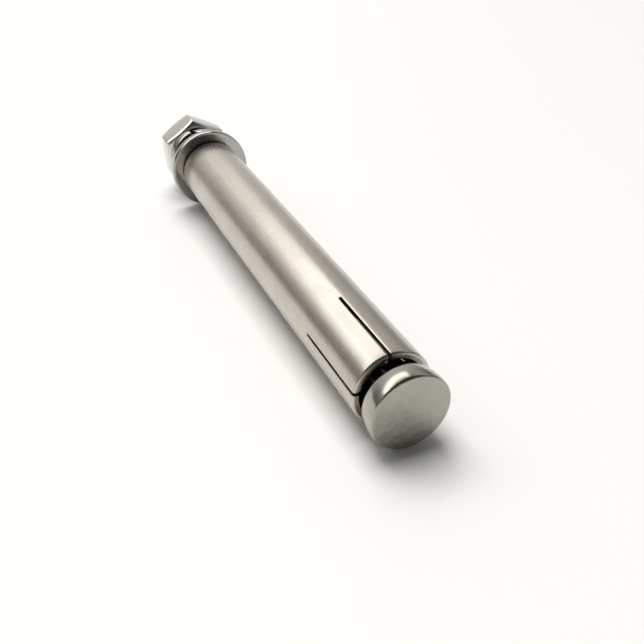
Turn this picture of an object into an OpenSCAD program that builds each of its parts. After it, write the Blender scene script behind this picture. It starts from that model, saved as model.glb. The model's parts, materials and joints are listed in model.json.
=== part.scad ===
// Sleeve anchor for masonry: a cone-headed stud in a slotted sleeve, with a flat washer, a spring
// washer and a hexagon nut. It lies on the rims of its head and of its flat washer, nut towards +X.

/* [Bolt] */
// Outside diameter of the thread
thread_d = 7.9; // [6:0.1:11.8]
// Depth of the plain shank below the crests of the thread
shank_step = 0.4; // [0.2:0.05:0.6]
// Length of plain shank between the cone and the thread
shank_len = 40; // [15:1:45]
// Length of thread that stands out past the nut
thread_out = 4; // [2:0.5:15]
// Chamfer on the free end of the thread
thread_chamfer = 0.8; // [0.3:0.1:1.2]

/* [Cone head] */
// Angle between the cone's side and the axis
cone_angle = 22; // [15:0.5:24]
// Height of the straight edge round the head
head_edge = 1.1; // [0.3:0.1:2]
// Rounding between the head's edge and its flat face
head_round = 0.4; // [0.2:0.1:1.5]
// Rounding where the cone runs into the shank
neck_round = 6; // [3:0.5:10]
// Amount by which the head's rim lies inside the sleeve's outside, so that it enters the same hole
head_inset = 0.02; // [0:0.01:0.4]

/* [Sleeve] */
// Length of the sleeve
sleeve_len = 80; // [60:1:120]
// Wall of the sleeve
sleeve_wall = 1; // [1:0.1:2]
// Gap between the thread and the sleeve's bore, on the radius
bore_gap = 1.05; // [0.4:0.05:1.6]
// Rounding of the outer edge at the nut end
sleeve_round = 0.7; // [0.3:0.1:0.9]

/* [Petals] */
// Number of saw cuts across the sleeve, each of which makes two slots
saw_cuts = 2; // [1:1:3]
// Angle between one saw cut and the next
cut_angle = 74; // [60:1:120]
// Length of the slots
slot_len = 16; // [8:0.5:30]
// Width of the slots
slot_w = 0.5; // [0.3:0.1:1.2]
// Outside radius to which the petal tips are curled in
curl_r = 6.5; // [4:0.5:8]
// Angle through which the petal tips are curled in
curl_angle = 18; // [12:1:26]
// Rounding of the outer edge of the petal tips
tip_round = 0.4; // [0.1:0.1:0.6]
// Clearance between the petal tips and the cone
tip_gap = 0.1; // [0.05:0.05:0.5]

/* [Flat washer] */
// Thickness of the flat washer
washer_t = 1.6; // [1:0.1:3]
// Width of the flat washer's ring
washer_ring = 3.8; // [3.4:0.1:6]
// Gap between the thread and the flat washer's bore, on the radius
washer_gap = 0.25; // [0.1:0.05:0.6]
// Rounding of the flat washer's outer edges
washer_round = 0.3; // [0.1:0.05:0.45]
// Gap between the sleeve's end and the flat washer
washer_off = 0.5; // [0.2:0.1:3]

/* [Spring washer] */
// Side of the spring washer's square section
spring_side = 2.1; // [1.4:0.1:3]
// Gap between the thread and the spring washer's bore, on the radius
spring_gap = 0.15; // [0.1:0.05:0.5]
// Distance that one end of the spring washer stands above the other
spring_rise = 1.2; // [0.4:0.1:2]
// Width of the split, measured along the middle of the section
spring_split = 1; // [0.5:0.1:2]
// Slant of the split, as sideways shift for each unit of thickness
spring_slant = 0.3; // [0:0.05:0.6]
// Flat on the section's corners
spring_corner = 0.2; // [0.1:0.05:0.4]

/* [Nut] */
// Height of the nut
nut_h = 6; // [4:0.1:10]
// Wall of the nut between the thread and its flats
nut_wall = 2.45; // [1.8:0.05:2.9]
// Gap between the thread and the nut's bore, on the radius
nut_gap = 0.05; // [0.03:0.01:0.1]
// Angle of the chamfers on the nut's corners
nut_chamfer = 30; // [15:1:35]
// Share of the width across flats that the nut's round faces keep
nut_face_share = 0.95; // [0.9:0.01:0.98]
// Depth of the countersinks at both ends of the nut's bore
nut_sink = 0.5; // [0.2:0.1:1]
// Free travel left between the flat washer and the spring washer
slack = 4; // [2:0.1:10]

/* [Hidden] */

round_fn = 96;
arc_steps = 8;
spring_steps = 60;
over = 1;

// Directions round the axis, as angles from straight down
slot_at = 99;
split_at = 169;
corner_at = -4;

bolt_color = [0.72, 0.71, 0.68];
sleeve_color = [0.78, 0.76, 0.71];
washer_color = [0.60, 0.59, 0.57];
nut_color = [0.66, 0.66, 0.64];

// Radii
thread_r = thread_d / 2;
shank_r = thread_r - shank_step;
bore_r = thread_r + bore_gap;
sleeve_r = bore_r + sleeve_wall;
head_r = sleeve_r - head_inset;
washer_bore_r = thread_r + washer_gap;
washer_r = washer_bore_r + washer_ring;
spring_bore_r = thread_r + spring_gap;
spring_r = spring_bore_r + spring_side;
nut_bore_r = thread_r + nut_gap;
nut_flat_r = thread_r + nut_wall;
nut_corner_r = nut_flat_r / cos(30);
nut_face_r = nut_flat_r * nut_face_share;
curl_inner_r = curl_r - sleeve_wall;
curl_middle = sleeve_r - curl_r;
tip_inner_r = curl_middle + curl_inner_r * cos(curl_angle);

// Places along the axis, from the head's flat face towards the nut
cone_from = head_round + head_edge;
cone_meets_shank = cone_from + (head_r - shank_r) / tan(cone_angle);
neck_reach = neck_round * tan(cone_angle / 2);
shank_from = cone_meets_shank + neck_reach;
thread_from = shank_from + shank_len;
tip_inner_at = cone_from + (tip_gap + (head_r - tip_inner_r) * cos(cone_angle)) / sin(cone_angle);
curl_from = tip_inner_at + curl_inner_r * sin(curl_angle);
tip_round_angle = curl_angle - asin(tip_round / (curl_r - tip_round));
mouth = curl_from - (curl_r - tip_round) * sin(tip_round_angle) - tip_round;
sleeve_end = mouth + sleeve_len;
washer_from = sleeve_end + washer_off;
washer_to = washer_from + washer_t;
spring_from = washer_to + slack;
nut_from = spring_from + spring_side + spring_rise;
nut_end = nut_from + nut_h;
bolt_end = nut_end + thread_out;

// The part lies on two roundings: the head's rim and the flat washer's rim
head_touch = [head_round, head_r - head_round];
washer_touch = [washer_from + washer_round, washer_r - washer_round];
touch_span = washer_touch - head_touch;
tilt = atan2(touch_span[1], touch_span[0]) + asin((washer_round - head_round) / norm(touch_span));
rest_z = head_touch[1] * cos(tilt) + head_round - head_touch[0] * sin(tilt);
x_low = head_touch[0] * cos(tilt) - head_touch[1] * sin(tilt) - head_round;
x_high = bolt_end * cos(tilt) + (thread_r - thread_chamfer) * sin(tilt);
rest_x = -(x_low + x_high) / 2;

// Points along an arc in an outline, from one angle to another
function arc(middle, radius, from, to) =
    [for (i = [0:arc_steps])
        let (a = from + (to - from) * i / arc_steps)
        middle + radius * [cos(a), sin(a)]];

// Lays what is modelled along +Z down to its rest on the floor
module lying() {
    translate([rest_x, 0, rest_z])
        rotate([0, 90 - tilt, 0])
            children();
}

module turned(outline) {
    rotate_extrude($fn = round_fn)
        polygon(outline);
}

// Stud with its cone head, plain shank and thread, the thread as a plain cylinder over its crests
module cone_bolt() {
    neck_middle = [shank_r + neck_round, shank_from];
    color(bolt_color)
        lying()
            turned(concat(
                [[0, 0]],
                arc([head_r - head_round, head_round], head_round, -90, 0),
                [[head_r, cone_from]],
                arc(neck_middle, neck_round, 180 + cone_angle, 180),
                [[shank_r, thread_from],
                 [thread_r, thread_from + shank_step],
                 [thread_r, bolt_end - thread_chamfer],
                 [thread_r - thread_chamfer, bolt_end],
                 [0, bolt_end]]));
}

// Tube whose tips are curled in and sawn into petals at the cone's end
module expansion_sleeve() {
    curl = [curl_middle, curl_from];
    tip = curl + (curl_r - tip_round) * [cos(tip_round_angle), -sin(tip_round_angle)];
    end_middle = [sleeve_r - sleeve_round, sleeve_end - sleeve_round];
    color(sleeve_color)
        lying()
            difference() {
                turned(concat(
                    arc(curl, curl_inner_r, 0, -curl_angle),
                    arc(tip, tip_round, -90 - curl_angle, -tip_round_angle),
                    arc(curl, curl_r, -tip_round_angle, 0),
                    arc(end_middle, sleeve_round, 0, 90),
                    [[bore_r, sleeve_end]]));
                for (i = [0:saw_cuts - 1])
                    rotate(slot_at + i * cut_angle)
                        translate([-sleeve_r - over, -slot_w / 2, mouth - over])
                            cube([2 * (sleeve_r + over), slot_w, slot_len + over]);
            }
}

// Punched ring with rounded outer edges, loose at the sleeve's end
module flat_washer() {
    rim_r = washer_r - washer_round;
    color(washer_color)
        lying()
            turned(concat(
                [[washer_bore_r, washer_from]],
                arc([rim_r, washer_from + washer_round], washer_round, -90, 0),
                arc([rim_r, washer_to - washer_round], washer_round, 0, 90),
                [[washer_bore_r, washer_to]]));
}

// Split ring of square section that climbs from one end to the other, against the nut
module spring_washer() {
    middle_r = spring_bore_r + spring_side / 2;
    degrees_per_length = 180 / (PI * middle_r);
    sweep = 360 - spring_split * degrees_per_length;
    from = split_at + spring_split * degrees_per_length / 2;
    near = spring_corner;
    far = spring_side - spring_corner;
    section = [[near, 0], [far, 0], [spring_side, near], [spring_side, far],
               [far, spring_side], [near, spring_side], [0, far], [0, near]];
    sides = len(section);
    points = [for (i = [0:spring_steps], corner = section)
        let (a = from + sweep * i / spring_steps - spring_slant * corner[1] * degrees_per_length,
             r = spring_bore_r + corner[0])
        [r * cos(a), r * sin(a), spring_from + spring_rise * i / spring_steps + corner[1]]];
    walls = [for (i = [0:spring_steps - 1], j = [0:sides - 1])
        let (k = (j + 1) % sides, here = i * sides, next = here + sides)
        each [[here + j, here + k, next + k], [here + j, next + k, next + j]]];
    first = [for (j = [1:sides - 2]) [0, j + 1, j]];
    last_row = spring_steps * sides;
    last = [for (j = [1:sides - 2]) [last_row, last_row + j, last_row + j + 1]];
    color(washer_color)
        lying()
            polyhedron(points, concat(walls, first, last), convexity = 4);
}

// Hexagon nut with chamfered corners and a countersunk bore
module hex_nut() {
    chamfer_r = nut_corner_r + over;
    chamfer_h = (chamfer_r - nut_face_r) * tan(nut_chamfer);
    color(nut_color)
        lying()
            difference() {
                intersection() {
                    translate([0, 0, nut_from])
                        rotate(corner_at)
                            cylinder(r = nut_corner_r, h = nut_h, $fn = 6);
                    turned([[0, nut_from], [nut_face_r, nut_from],
                            [chamfer_r, nut_from + chamfer_h],
                            [chamfer_r, nut_end - chamfer_h],
                            [nut_face_r, nut_end], [0, nut_end]]);
                }
                turned([[0, nut_from - over], [nut_bore_r + nut_sink + over, nut_from - over],
                        [nut_bore_r, nut_from + nut_sink],
                        [nut_bore_r, nut_end - nut_sink],
                        [nut_bore_r + nut_sink + over, nut_end + over], [0, nut_end + over]]);
            }
}

cone_bolt();
expansion_sleeve();
flat_washer();
spring_washer();
hex_nut();
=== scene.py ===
# Sleeve anchor at rest on a pale studio floor, with its cone head towards the camera.
import json
import math

import bmesh
import bpy
from mathutils import Matrix, Quaternion, Vector


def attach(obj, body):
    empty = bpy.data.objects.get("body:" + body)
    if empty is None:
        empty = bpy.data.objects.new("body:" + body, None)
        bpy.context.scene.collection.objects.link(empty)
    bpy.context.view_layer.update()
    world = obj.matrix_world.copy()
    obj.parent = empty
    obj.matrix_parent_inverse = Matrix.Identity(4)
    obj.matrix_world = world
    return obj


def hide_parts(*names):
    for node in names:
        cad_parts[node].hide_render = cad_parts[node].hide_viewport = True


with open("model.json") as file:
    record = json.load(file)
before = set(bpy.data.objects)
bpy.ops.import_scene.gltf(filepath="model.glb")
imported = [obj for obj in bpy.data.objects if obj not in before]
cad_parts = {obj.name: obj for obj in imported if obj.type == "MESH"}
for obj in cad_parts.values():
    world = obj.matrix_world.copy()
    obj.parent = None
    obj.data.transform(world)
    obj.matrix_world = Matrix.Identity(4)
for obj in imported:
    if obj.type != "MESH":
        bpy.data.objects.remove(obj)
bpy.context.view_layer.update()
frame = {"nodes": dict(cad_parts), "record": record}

# Lengths in millimetres, those along the axis from the head's face, and angles in outlines in degrees
MM = 0.001
ROUND = 2 * math.pi

# Head
HEAD_R = 5.98
HEAD_CROWN = 0.06
FACE_FIRST_R = 0.4
FACE_RIM_GAP = 0.05
RIM_FROM = -80
COLLAR_WIDEST = 0.94
COLLAR_BULGE = 7.8
COLLAR_LEAD = 4
COLLAR_TAPER = 11
COLLAR_TO = 3.4
TAPER_SHARES = (0.3, 0.6, 0.95)
SHOULDER_BREAK = 0.06
SHOULDER_LEAN = 0.03
CONE_FROM = 1.5
CONE_ANGLE = 22
CONE_SEAT = 4.1

# Shank and thread
NECK_ROUND = 6.0
SHANK_R = 3.55
SHANK_LEN = 40.0
SHANK_NECK_GAP = 1.0
SHANK_THREAD_GAP = 0.1
THREAD_R = 3.95
THREAD_ROOT_R = 3.28
THREAD_PITCH = 1.25
THREAD_RUN_OUT = 1.6
CREST_SHARE = 0.12
FLANK_SHARE = 0.68
FLANK_STRAIGHT = 0.55
THREAD_CHAMFER = 0.8
CHAMFER_POWER = 1.5
END_RIM_R = 3.0
END_HOLLOW = 0.45
END_FIRST_SHARE = 0.94
END_LAST_R = 0.3
STUD_COLUMNS = 96
THREAD_ROWS = 14

# Sleeve
SLEEVE_R = 6.0
BORE_R = 5.0
SLEEVE_ROUND = 0.35
SLOT_LEN = 16.0
SLOT_W = 0.5
SLOTS_AT = [math.radians(a) for a in (99, 173, 279, 353)]
SLOT_BREAK = 0.06
CURL_R = 6.5
CURL_ANGLE = 11
CURL_FROM = 1.9
CURL_GAP_OUTSIDE = 0.5
CURL_GAP_INSIDE = 1.0
TIP_ROUND = 0.45
TIP_SHORT = 0.75
SLEEVE_COLUMNS = 144

# Washers
RIM_SWELL = 17
RIM_BREAK = 0.1
RIM_BREAK_ANGLE = 60
WASHER_R = 8.0
WASHER_BORE_R = 4.2
WASHER_BORE_ROUND = 0.15
WASHER_BORE_GAP = 0.1
WASHER_RIM_GAP = 0.4
WASHER_COLUMNS = 144
SPRING_SIDE = 2.1
SPRING_BORE_R = 4.1
SPRING_RISE = 1.2
SPRING_SPLIT = 1.0
SPRING_SLANT = 0.3
SPRING_CORNER = 0.22
SPRING_STEPS = 160
SPLIT_AT = math.radians(169)

# Nut
NUT_FLAT_R = 6.4
NUT_FACE_R = 6.08
NUT_CHAMFER = math.radians(30)
NUT_SINK = 0.5
NUT_MINOR_R = 3.42
NUT_FLANK_GAP = 0.06
NUT_CORNER_AT = math.radians(-4)
NUT_SIDE_COLUMNS = 16
NUT_BREAK = 0.13
NUT_BREAK_ANGLE = 34
NUT_BREAK_INSIDE = 0.02
NUT_CROWN = 0.22
NUT_CROWN_LEN = 1.6

# Steel, with noise in features per metre and heights in metres
NOISE_FROM = 0.3
NOISE_TO = 0.7
COARSE_DETAIL = 4
FINE_DETAIL = 3
BLOTCH_SCALE = 160
STREAK_STRETCH = (1, 1, 0.06)
STREAK_ROUGHNESS = 0.6
PIT_SCALE = 3400
PIT_HEIGHT = 0.000004
FORGED_SCALE = 760
FORGED_HEIGHT = 0.00011
LEVEL_HEIGHT = 0.5
END_FACE_FROM = 0.1 * MM
END_FACE_TO = 0.25 * MM

# Camera, floor and light, in metres
CAMERA_AT = Vector((-0.11896, 0.04297, 0.07136))
CAMERA_AIM = Vector((-0.01900, -0.00209, 0.0))
CAMERA_LENS = 44.04
CAMERA_CLIP = (0.005, 100.0)
FLOOR_SIDE = 60.0
FLOOR_COLOR = (0.86, 0.86, 0.855, 1)
FLOOR_ROUGHNESS = 0.55
LIGHT_COLOR = (1.0, 0.985, 0.955)
KEY_AWAY = 16.0
KEY_TURN = math.radians(16)
KEY_RISE = math.radians(43.5)
KEY_ROLL = math.radians(-10)
KEY_SIZE = (19.0, 4.6)
KEY_RADIANCE = 2.2
FILL_AWAY = 15.0
FILL_TURN = math.radians(2)
FILL_RISE = math.radians(66)
FILL_ROLL = 0.0
FILL_SIZE = (10.5, 10.5)
FILL_RADIANCE = 7.0

# Surroundings, as brightness by degrees over the horizon behind the anchor, beside it and in front of it
SKY_BACK = [
    (0, 0.95), (7, 0.85), (12, 0.78), (20, 0.95), (28, 1.00), (36, 1.00), (50, 0.14), (62, 0.05), (90, 0.05),
]
SKY_SIDE = [
    (0, 0.19), (10, 0.21), (16, 0.30), (28, 0.55), (36, 0.65), (50, 0.14), (62, 0.05), (90, 0.05),
]
SKY_FRONT = [
    (0, 0.60), (8, 0.32), (20, 0.12), (45, 0.06), (60, 0.05), (90, 0.05),
]
SKY_MIDDLE = math.radians(-6)
SKY_FRONT_TO_SIDE = (-0.5, 0.4)
SKY_SIDE_TO_BACK = (0.7, 1.0)


def axis_frame():
    """The anchor's own frame: Z from the head's face to the nut, X down, Y to the side."""
    mount = next(m for m in frame["record"]["mounts"] if m["name"] == "head_face")
    along = -Vector(mount["axis"]).normalized()
    down = Vector((0, 0, -1))
    down = (down - along * down.dot(along)).normalized()
    side = along.cross(down)
    turn = Matrix((down, side, along)).transposed().to_4x4()
    return Matrix.Translation(Vector(mount["pos_m"])) @ turn


AXIS = axis_frame()


def reach(node):
    """Where a CAD node begins and ends along the axis, in millimetres."""
    back = AXIS.inverted()
    places = [(back @ v.co).z / MM for v in frame["nodes"][node].data.vertices]
    return min(places), max(places)


BOLT_END = reach("cone_bolt")[1]
MOUTH, SLEEVE_END = reach("expansion_sleeve")
WASHER_FROM, WASHER_TO = reach("flat_washer")
SPRING_FROM = reach("spring_washer")[0]
NUT_FROM, NUT_TO = reach("hex_nut")


# Mesh helpers

def clamp(value, low=0.0, high=1.0):
    return max(low, min(high, value))


def smooth(share):
    share = clamp(share)
    return share * share * (3 - 2 * share)


def spread(first, last, count):
    """Evenly spaced values from first to last, both included."""
    return [first + (last - first) * i / count for i in range(count + 1)]


def arc(middle_r, middle_u, radius, start, end, steps=8):
    """Points (radius, along) of an arc in an outline, angles in degrees from outwards towards the nut."""
    turns = [math.radians(a) for a in spread(start, end, steps)]
    return [(middle_r + radius * math.cos(a), middle_u + radius * math.sin(a)) for a in turns]


def at(radius, along, angle):
    return (radius * math.cos(angle), radius * math.sin(angle), along)


def angles(columns):
    return [ROUND * i / columns for i in range(columns)]


def ring(radius, along, columns):
    return [at(radius, along, a) for a in angles(columns)]


def joined_rings(rings, closed=False):
    """Points and quads of a tube through rings of equal length, or of a ring of rings."""
    count = len(rings[0])
    points = [p for one in rings for p in one]
    faces = []
    for i in range(len(rings) if closed else len(rings) - 1):
        here = i * count
        there = (i + 1) % len(rings) * count
        for j in range(count):
            k = (j + 1) % count
            faces.append((here + j, here + k, there + k, there + j))
    return points, faces


def capped(points, faces, count, first_along, last_along):
    """Closes a tube of rings with a fan at each end."""
    tail = len(points) - count
    first = len(points)
    last = first + 1
    points = points + [(0, 0, first_along), (0, 0, last_along)]
    for j in range(count):
        k = (j + 1) % count
        faces.append((first, k, j))
        faces.append((last, tail + j, tail + k))
    return points, faces


def broken_edges(bm, size, sharper_than, outside):
    """Bevels the edges that are sharper than an angle in degrees and lie outside a radius."""
    limit = math.radians(sharper_than)
    chosen = [e for e in bm.edges if min(v.co.xy.length for v in e.verts) >= outside * MM]
    sharp = [e for e in chosen if len(e.link_faces) == 2 and e.calc_face_angle() > limit]
    bmesh.ops.bevel(bm, geom=sharp, offset=size * MM, segments=2, profile=0.5,
                    affect="EDGES", clamp_overlap=True)


def piece(name, points, faces, material, body, node,
          crease=35, break_edges=0.0, break_angle=50, break_from=0.0):
    """One finished piece that stands for a CAD node and moves with its body."""
    mesh = bpy.data.meshes.new(name)
    mesh.from_pydata([Vector(p) * MM for p in points], [], faces)
    bm = bmesh.new()
    bm.from_mesh(mesh)
    bmesh.ops.recalc_face_normals(bm, faces=bm.faces)
    if break_edges:
        broken_edges(bm, break_edges, break_angle, break_from)
    bm.to_mesh(mesh)
    bm.free()
    for face in mesh.polygons:
        face.use_smooth = True
    mesh.set_sharp_from_angle(angle=math.radians(crease))
    obj = bpy.data.objects.new(name, mesh)
    bpy.context.scene.collection.objects.link(obj)
    obj.matrix_world = AXIS
    obj.data.materials.append(material)
    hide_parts(node)
    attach(obj, body)
    return obj


# Thread

def thread_height(turn):
    """Share of the thread's depth at a place between crests: 1 on a crest, 0 in a root."""
    away = 2 * abs(turn - round(turn))
    flank = clamp((CREST_SHARE + FLANK_SHARE - away) / FLANK_SHARE)
    return FLANK_STRAIGHT * flank + (1 - FLANK_STRAIGHT) * smooth(flank)


def thread_radius(along, angle):
    """Rolled right-hand thread, without its ends."""
    turn = (along - BOLT_END) / THREAD_PITCH - angle / ROUND
    return THREAD_ROOT_R + (THREAD_R - THREAD_ROOT_R) * thread_height(turn)


# Stud

def head_outline():
    """Outline of the head: crowned face, rounded rim, barrelled and tapering collar, shoulder to the cone."""
    collar = arc(HEAD_R - COLLAR_BULGE, COLLAR_WIDEST, COLLAR_BULGE, -COLLAR_LEAD, COLLAR_TAPER, 10)
    lead_r, lead_u = collar[0]
    taper_r, taper_u = collar[-1]
    lead = math.radians(COLLAR_LEAD)
    rim_round = (lead_u - HEAD_CROWN) / (1 - math.sin(lead))
    rim_r = lead_r - rim_round * math.cos(lead)
    face_radii = spread(FACE_FIRST_R, rim_r - FACE_RIM_GAP, 10)
    face = [(r, HEAD_CROWN * (r / rim_r) ** 2) for r in face_radii]
    rim = arc(rim_r, HEAD_CROWN + rim_round, rim_round, RIM_FROM, -COLLAR_LEAD, 12)
    taper_len = COLLAR_TO - taper_u
    shoulder_r = taper_r - taper_len * math.tan(math.radians(COLLAR_TAPER))
    taper = [(taper_r + (shoulder_r - taper_r) * s, taper_u + taper_len * s) for s in TAPER_SHARES]
    seat_r = HEAD_R - (CONE_SEAT - CONE_FROM) * math.tan(math.radians(CONE_ANGLE))
    shoulder = [
        (shoulder_r - SHOULDER_BREAK, COLLAR_TO + SHOULDER_LEAN),
        (seat_r + SHOULDER_BREAK, CONE_SEAT - SHOULDER_LEAN),
        (seat_r, CONE_SEAT + SHOULDER_LEAN),
    ]
    return face + rim + collar[1:] + taper + shoulder


def bolt_radius(along, angle, thread_from):
    """Radius of the stud's threaded length: a run-out at the shank, a rounded chamfer at the end."""
    grown = smooth((along - thread_from) / THREAD_RUN_OUT)
    radius = SHANK_R + (thread_radius(along, angle) - SHANK_R) * grown
    into_end = clamp((along - BOLT_END + THREAD_CHAMFER) / THREAD_CHAMFER)
    return min(radius, THREAD_R - (THREAD_R - END_RIM_R) * into_end ** CHAMFER_POWER)


def cone_bolt(material):
    """Stud with its cone head, plain shank, rolled thread and hollow end."""
    cone = math.radians(CONE_ANGLE)
    meets_shank = CONE_FROM + (HEAD_R - SHANK_R) / math.tan(cone)
    shank_from = meets_shank + NECK_ROUND * math.tan(cone / 2)
    thread_from = shank_from + SHANK_LEN
    neck = arc(SHANK_R + NECK_ROUND, shank_from, NECK_ROUND, 180 + CONE_ANGLE, 180, 10)
    shank = spread(shank_from + SHANK_NECK_GAP, thread_from - SHANK_THREAD_GAP, 6)
    outline = head_outline() + neck + [(SHANK_R, u) for u in shank]
    rings = [ring(r, u, STUD_COLUMNS) for r, u in outline]
    rows = round((BOLT_END - thread_from) / THREAD_PITCH * THREAD_ROWS)
    for u in spread(thread_from, BOLT_END, rows):
        rings.append([at(bolt_radius(u, a, thread_from), u, a) for a in angles(STUD_COLUMNS)])
    for r in spread(END_FIRST_SHARE * END_RIM_R, END_LAST_R, 8):
        rings.append(ring(r, BOLT_END - END_HOLLOW * (1 - smooth(r / END_RIM_R)), STUD_COLUMNS))
    points, faces = joined_rings(rings)
    points, faces = capped(points, faces, STUD_COLUMNS, 0.0, BOLT_END - END_HOLLOW)
    return piece("stud", points, faces, material, "bolt", "cone_bolt", crease=60)


# Sleeve

def sleeve_outlines():
    """Outer and inner outlines of the petals from the slots' ends to the tips, as (radius, along)."""
    curl_from = MOUTH + CURL_FROM
    slot_end = MOUTH + SLOT_LEN
    outer = [(SLEEVE_R, u) for u in spread(slot_end, curl_from + CURL_GAP_OUTSIDE, 8)]
    outer += arc(SLEEVE_R - TIP_ROUND, MOUTH + TIP_SHORT + TIP_ROUND, TIP_ROUND, 0, -90, 10)
    inner = [(BORE_R, u) for u in spread(slot_end, curl_from + CURL_GAP_INSIDE, 8)]
    inner += arc(SLEEVE_R - CURL_R, curl_from, CURL_R - (SLEEVE_R - BORE_R), 0, -CURL_ANGLE, 6)
    return outer, inner


def sleeve_columns():
    """Columns round the sleeve, each an angle and the side of a slot that it edges: -1, 1 or 0 for none."""
    half = math.asin(SLOT_W / 2 / SLEEVE_R)
    columns = []
    ends = SLOTS_AT[1:] + [SLOTS_AT[0] + ROUND]
    for first, last in zip(SLOTS_AT, ends):
        count = round(SLEEVE_COLUMNS * (last - first) / ROUND)
        columns.append((first, 1))
        columns += [(a, 0) for a in spread(first + half, last - half, count)[1:-1]]
        columns.append((last, -1))
    return columns


def expansion_sleeve(material):
    """Tube sawn into petals at one end, with softly broken edges along its slots."""
    outer, inner = sleeve_outlines()
    end = arc(SLEEVE_R - SLEEVE_ROUND, SLEEVE_END - SLEEVE_ROUND, SLEEVE_ROUND, 90, 0, 8)
    plain = spread(SLEEVE_END - SLEEVE_ROUND, outer[0][1], 12)[1:-1]
    back = [(BORE_R, u) for u in spread(outer[0][1], SLEEVE_END, 10)[1:]]
    outline = end + [(SLEEVE_R, u) for u in plain] + outer + inner[::-1] + back
    count = len(outline)
    slot_first = len(end) + len(plain)
    slot_rows = range(slot_first, slot_first + len(outer) + len(inner))
    slot_last = slot_rows[-1]
    columns = sleeve_columns()
    points = []
    for angle, side in columns:
        for r, u in outline:
            points.append(at(r, u, angle + side * math.asin(SLOT_W / 2 / r)))
    faces = []
    for c, (angle, side) in enumerate(columns):
        here = c * count
        there = (c + 1) % len(columns) * count
        at_slot = side == -1
        for k in range(count):
            after = (k + 1) % count
            if at_slot and k in slot_rows and after in slot_rows:
                continue
            faces.append((here + k, there + k, there + after, here + after))
        if side:
            faces.append(tuple(here + k for k in slot_rows))
        if at_slot:
            faces.append((here + slot_first, there + slot_first, there + slot_last, here + slot_last))
    return piece("sleeve_tube", points, faces, material, "sleeve", "expansion_sleeve",
                 crease=40, break_edges=SLOT_BREAK)


# Washers

def swollen_side(radius, start, end):
    """Outline of a ring's outer side that swells between its two edges."""
    half = (end - start) / 2
    bulge = half / math.sin(math.radians(RIM_SWELL))
    return arc(radius - bulge, start + half, bulge, -RIM_SWELL, RIM_SWELL, 12)


def flat_washer(material):
    """Punched ring with a swollen rim."""
    bore_r = WASHER_BORE_R + WASHER_BORE_ROUND
    outline = swollen_side(WASHER_R, WASHER_FROM, WASHER_TO)
    outer_r = outline[0][0] - WASHER_RIM_GAP
    inner_r = bore_r + WASHER_BORE_GAP
    outline += [(r, WASHER_TO) for r in spread(outer_r, inner_r, 4)]
    outline += arc(bore_r, WASHER_TO - WASHER_BORE_ROUND, WASHER_BORE_ROUND, 90, 180)
    outline += arc(bore_r, WASHER_FROM + WASHER_BORE_ROUND, WASHER_BORE_ROUND, 180, 270)
    outline += [(r, WASHER_FROM) for r in spread(inner_r, outer_r, 4)]
    points, faces = joined_rings([ring(r, u, WASHER_COLUMNS) for r, u in outline], closed=True)
    return piece("washer_ring", points, faces, material, "sleeve", "flat_washer",
                 break_edges=RIM_BREAK, break_angle=RIM_BREAK_ANGLE)


def spring_section():
    """Square section with a swollen outer side, as (outwards, along) from its inner low corner."""
    low = SPRING_CORNER
    high = SPRING_SIDE - SPRING_CORNER
    section = swollen_side(SPRING_SIDE, 0.0, SPRING_SIDE)
    section += arc(low, high, SPRING_CORNER, 90, 180, 4)
    section += arc(low, low, SPRING_CORNER, 180, 270, 4)
    return section


def spring_washer(material):
    """Split ring that climbs from one end to the other, its ends cut on the slant."""
    middle_r = SPRING_BORE_R + SPRING_SIDE / 2
    sweep = ROUND - SPRING_SPLIT / middle_r
    start = SPLIT_AT + SPRING_SPLIT / middle_r / 2
    slant = SPRING_SLANT / middle_r
    section = spring_section()
    rings = []
    for share in spread(0, 1, SPRING_STEPS):
        rise = SPRING_FROM + SPRING_RISE * share
        turn = start + sweep * share
        rings.append([at(SPRING_BORE_R + x, rise + y, turn - slant * y) for x, y in section])
    points, faces = joined_rings(rings)
    count = len(section)
    faces.append(tuple(range(count)))
    faces.append(tuple(range(len(points) - 1, len(points) - 1 - count, -1)))
    return piece("split_ring", points, faces, material, "lock_washer", "spring_washer",
                 break_edges=RIM_BREAK, break_angle=RIM_BREAK_ANGLE)


# Nut

def nut_outside(angle):
    """Distance from the axis to the nut's flats at an angle."""
    sixth = ROUND / 6
    from_middle = (angle - NUT_CORNER_AT) % sixth - sixth / 2
    return NUT_FLAT_R / math.cos(from_middle)


def nut_bore(along, angle):
    """Radius of the nut's threaded bore, opened by a countersink at both ends."""
    radius = max(NUT_MINOR_R, thread_radius(along, angle) + NUT_FLANK_GAP)
    from_end = min(along - NUT_FROM, NUT_TO - along)
    sink = THREAD_R + NUT_FLANK_GAP + NUT_SINK - from_end
    return max(radius, sink)


def nut_crown(along, drop):
    """How far the nut's flats draw in towards its ends."""
    from_end = min(along - NUT_FROM, NUT_TO - along) - drop
    return NUT_CROWN * (1 - clamp(from_end / NUT_CROWN_LEN)) ** 2


def nut_rows(drop):
    """Places along the nut's wall, from its far end to its near end."""
    steps = spread(0, NUT_CROWN_LEN, 5)
    far = [NUT_TO - drop - s for s in steps]
    near = [NUT_FROM + drop + s for s in steps]
    return far + near[::-1]


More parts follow.
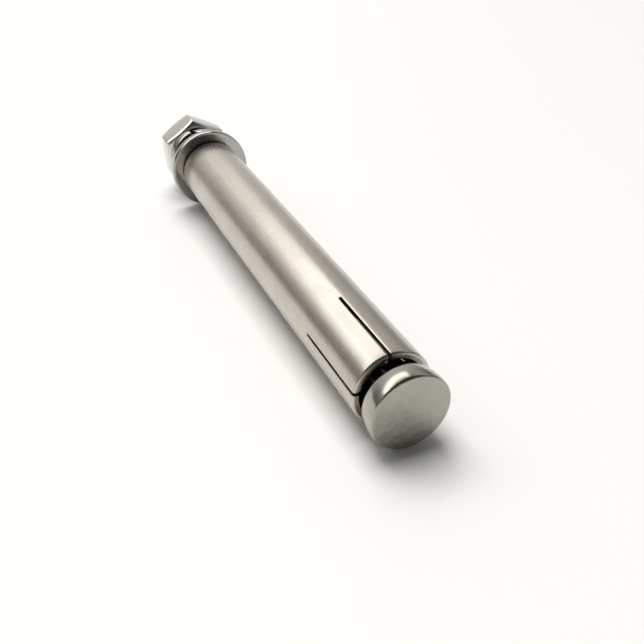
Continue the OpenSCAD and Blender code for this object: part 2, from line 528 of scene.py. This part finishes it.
def hex_nut(material):
    """Nut with chamfered corners, softly broken edges and a thread that matches the stud's."""
    columns = [NUT_CORNER_AT + a for a in angles(6 * NUT_SIDE_COLUMNS)]
    height = NUT_TO - NUT_FROM
    rows = round(height / THREAD_PITCH * THREAD_ROWS)
    rings = []
    for a in columns:
        outside = nut_outside(a)
        drop = (outside - NUT_CROWN - NUT_FACE_R) * math.tan(NUT_CHAMFER)
        bore = [at(nut_bore(u, a), u, a) for u in spread(NUT_FROM, NUT_TO, rows)]
        face_r = math.hypot(bore[-1][0], bore[-1][1])
        far = [at(r, NUT_TO, a) for r in spread(face_r, NUT_FACE_R, 4)[1:]]
        near = [at(r, NUT_FROM, a) for r in spread(NUT_FACE_R, face_r, 4)[:-1]]
        wall = [at(outside - nut_crown(u, drop), u, a) for u in nut_rows(drop)]
        rings.append(bore + far + wall + near)
    points, faces = joined_rings(rings, closed=True)
    return piece("nut_hexagon", points, faces, material, "nut", "hex_nut", crease=40,
                 break_edges=NUT_BREAK, break_angle=NUT_BREAK_ANGLE, break_from=NUT_FACE_R - NUT_BREAK_INSIDE)


# Materials

class Nodes:
    """A material's node tree, with short ways to add and join nodes."""

    def __init__(self, name):
        self.material = bpy.data.materials.new(name)
        self.material.use_nodes = True
        self.tree = self.material.node_tree
        self.shader = self.tree.nodes["Principled BSDF"]

    def add(self, kind, **inputs):
        node = self.tree.nodes.new(kind)
        for name, value in inputs.items():
            node.inputs[name.replace("_", " ")].default_value = value
        return node

    def join(self, source, target):
        self.tree.links.new(source, target)

    def noise(self, scale, detail, stretch=(1, 1, 1), roughness=0.5):
        """Noise over the piece's own coordinates, in features per metre."""
        place = self.add("ShaderNodeTexCoord")
        mapping = self.add("ShaderNodeMapping", Scale=stretch)
        noise = self.add("ShaderNodeTexNoise", Scale=scale, Detail=detail, Roughness=roughness)
        self.join(place.outputs["Object"], mapping.inputs["Vector"])
        self.join(mapping.outputs["Vector"], noise.inputs["Vector"])
        return noise.outputs["Fac"]

    def ranged(self, value, low, high):
        """A noise's middle stretch spread over another range."""
        node = self.add("ShaderNodeMapRange", From_Min=NOISE_FROM, From_Max=NOISE_TO, To_Min=low, To_Max=high)
        self.join(value, node.inputs["Value"])
        return node.outputs["Result"]

    def tint(self, value, low, high):
        """A colour that runs from low to high over a noise's middle stretch."""
        ramp = self.add("ShaderNodeValToRGB")
        first, last = ramp.color_ramp.elements
        first.position = NOISE_FROM
        first.color = (*low, 1)
        last.position = NOISE_TO
        last.color = (*high, 1)
        self.join(value, ramp.inputs["Fac"])
        return ramp.outputs["Color"]

    def end_face(self):
        """Blend from a value on the flat face where the axis begins to a value elsewhere."""
        place = self.add("ShaderNodeTexCoord")
        parts = self.add("ShaderNodeSeparateXYZ")
        node = self.add("ShaderNodeMapRange", From_Min=END_FACE_FROM, From_Max=END_FACE_TO)
        self.join(place.outputs["Object"], parts.inputs["Vector"])
        self.join(parts.outputs["Z"], node.inputs["Value"])
        return node

    def rough_face(self, roughness, on_face):
        """Roughness with another value on the end face."""
        node = self.end_face()
        node.inputs["To Min"].default_value = on_face
        self.join(roughness, node.inputs["To Max"])
        return node.outputs["Result"]

    def forged_face(self, uneven):
        """Height that is uneven on the end face only."""
        node = self.end_face()
        node.inputs["To Max"].default_value = LEVEL_HEIGHT
        self.join(uneven, node.inputs["To Min"])
        return node.outputs["Result"]

    def bump(self, value, height, strength, under=None):
        """Height in metres at full value, on top of another bump if there is one."""
        node = self.add("ShaderNodeBump", Strength=strength, Distance=height)
        self.join(value, node.inputs["Height"])
        if under:
            self.join(under, node.inputs["Normal"])
        return node.outputs["Normal"]


def steel(name, low, high, smoothest, roughest, streaks, pits, face_roughness=0.0):
    """Bare steel: blotched colour, roughness streaked along the axis, fine pits, and a forged end face."""
    nodes = Nodes(name)
    blotch = nodes.noise(BLOTCH_SCALE, COARSE_DETAIL)
    drawn = nodes.noise(streaks, COARSE_DETAIL, STREAK_STRETCH, STREAK_ROUGHNESS)
    pitted = nodes.noise(PIT_SCALE, FINE_DETAIL)
    roughness = nodes.ranged(drawn, smoothest, roughest)
    normal = nodes.bump(pitted, PIT_HEIGHT, pits)
    if face_roughness:
        roughness = nodes.rough_face(roughness, face_roughness)
        forged = nodes.forged_face(nodes.noise(FORGED_SCALE, FINE_DETAIL))
        normal = nodes.bump(forged, FORGED_HEIGHT, 1.0, normal)
    nodes.shader.inputs["Metallic"].default_value = 1.0
    nodes.join(nodes.tint(blotch, low, high), nodes.shader.inputs["Base Color"])
    nodes.join(roughness, nodes.shader.inputs["Roughness"])
    nodes.join(normal, nodes.shader.inputs["Normal"])
    return nodes.material


# Stage

def floor():
    """Large pale sheet that the anchor lies on."""
    half = FLOOR_SIDE / 2
    corners = [(-half, -half, 0), (half, -half, 0), (half, half, 0), (-half, half, 0)]
    mesh = bpy.data.meshes.new("floor")
    mesh.from_pydata(corners, [], [(0, 1, 2, 3)])
    nodes = Nodes("floor_white")
    nodes.shader.inputs["Base Color"].default_value = FLOOR_COLOR
    nodes.shader.inputs["Roughness"].default_value = FLOOR_ROUGHNESS
    mesh.materials.append(nodes.material)
    obj = bpy.data.objects.new("floor", mesh)
    bpy.context.scene.collection.objects.link(obj)


def light_panel(name, turn, rise, roll, away, size, radiance, mirrored):
    """Soft rectangular light that faces the anchor, in a direction given by two angles."""
    light = bpy.data.lights.new(name, "AREA")
    light.shape = "RECTANGLE"
    light.size, light.size_y = size
    light.color = LIGHT_COLOR
    light.energy = radiance * math.pi * size[0] * size[1]
    obj = bpy.data.objects.new(name, light)
    bpy.context.scene.collection.objects.link(obj)
    level = math.cos(rise)
    obj.location = away * Vector((level * math.cos(turn), level * math.sin(turn), math.sin(rise)))
    facing = (-obj.location).to_track_quat("-Z", "Y")
    obj.rotation_euler = (facing @ Quaternion((0, 0, 1), roll)).to_euler()
    obj.visible_glossy = mirrored


def sky_ramp(tree, parts, stops):
    """Grey by height over the horizon: stops of elevation in degrees and brightness."""
    ramp = tree.nodes.new("ShaderNodeValToRGB")
    elements = ramp.color_ramp.elements
    while len(elements) < len(stops):
        elements.new(1.0)
    for element, (rise, grey) in zip(elements, stops):
        element.position = max(0.0, math.sin(math.radians(rise)))
        element.color = (grey * LIGHT_COLOR[0], grey * LIGHT_COLOR[1], grey * LIGHT_COLOR[2], 1)
    tree.links.new(parts.outputs["Z"], ramp.inputs["Fac"])
    return ramp.outputs["Color"]


def sky_mix(tree, parts, low, high, start, end):
    """Colour that runs from low to high as a direction turns towards the back."""
    share = tree.nodes.new("ShaderNodeMapRange")
    share.interpolation_type = "SMOOTHSTEP"
    share.inputs["From Min"].default_value = start
    share.inputs["From Max"].default_value = end
    mix = tree.nodes.new("ShaderNodeMix")
    mix.data_type = "RGBA"
    first, second = [s for s in mix.inputs if s.type == "RGBA"]
    tree.links.new(parts.outputs["X"], share.inputs["Value"])
    tree.links.new(share.outputs["Result"], mix.inputs["Factor"])
    tree.links.new(low, first)
    tree.links.new(high, second)
    return next(s for s in mix.outputs if s.type == "RGBA")


def studio_world():
    """Grey surroundings, paler at the horizon behind the anchor and dark overhead and beside the camera."""
    world = bpy.data.worlds.new("studio")
    world.use_nodes = True
    tree = world.node_tree
    place = tree.nodes.new("ShaderNodeTexCoord")
    turn = tree.nodes.new("ShaderNodeMapping")
    turn.inputs["Rotation"].default_value = (0, 0, -SKY_MIDDLE)
    parts = tree.nodes.new("ShaderNodeSeparateXYZ")
    tree.links.new(place.outputs["Generated"], turn.inputs["Vector"])
    tree.links.new(turn.outputs["Vector"], parts.inputs["Vector"])
    front, side, back = [sky_ramp(tree, parts, stops) for stops in (SKY_FRONT, SKY_SIDE, SKY_BACK)]
    front_half = sky_mix(tree, parts, front, side, *SKY_FRONT_TO_SIDE)
    color = sky_mix(tree, parts, front_half, back, *SKY_SIDE_TO_BACK)
    tree.links.new(color, tree.nodes["Background"].inputs["Color"])
    bpy.context.scene.world = world


def camera():
    """Camera at the photograph's angle."""
    data = bpy.data.cameras.new("camera")
    data.lens = CAMERA_LENS
    data.clip_start, data.clip_end = CAMERA_CLIP
    obj = bpy.data.objects.new("camera", data)
    bpy.context.scene.collection.objects.link(obj)
    obj.location = CAMERA_AT
    obj.rotation_euler = (CAMERA_AIM - CAMERA_AT).to_track_quat("-Z", "Y").to_euler()
    bpy.context.scene.camera = obj


# Making

camera()
floor()
studio_world()
light_panel("key_panel", KEY_TURN, KEY_RISE, KEY_ROLL, KEY_AWAY, KEY_SIZE, KEY_RADIANCE, mirrored=True)
light_panel("floor_panel", FILL_TURN, FILL_RISE, FILL_ROLL, FILL_AWAY, FILL_SIZE, FILL_RADIANCE, mirrored=False)
bpy.context.scene.view_settings.view_transform = "Standard"

sleeve_steel = steel("sleeve_satin", low=(0.53, 0.497, 0.448), high=(0.58, 0.547, 0.498),
                     smoothest=0.25, roughest=0.31, streaks=1100, pits=0.1)
stud_steel = steel("stud_smooth", low=(0.39, 0.375, 0.34), high=(0.44, 0.425, 0.385),
                   smoothest=0.15, roughest=0.21, streaks=900, pits=0.05, face_roughness=0.36)
washer_steel = steel("washer_polished", low=(0.39, 0.38, 0.36), high=(0.44, 0.43, 0.41),
                     smoothest=0.10, roughest=0.16, streaks=900, pits=0.05)
nut_steel = steel("nut_polished", low=(0.60, 0.59, 0.555), high=(0.65, 0.64, 0.605),
                  smoothest=0.10, roughest=0.16, streaks=900, pits=0.05)

cone_bolt(stud_steel)
expansion_sleeve(sleeve_steel)
flat_washer(washer_steel)
spring_washer(washer_steel)
hex_nut(nut_steel)
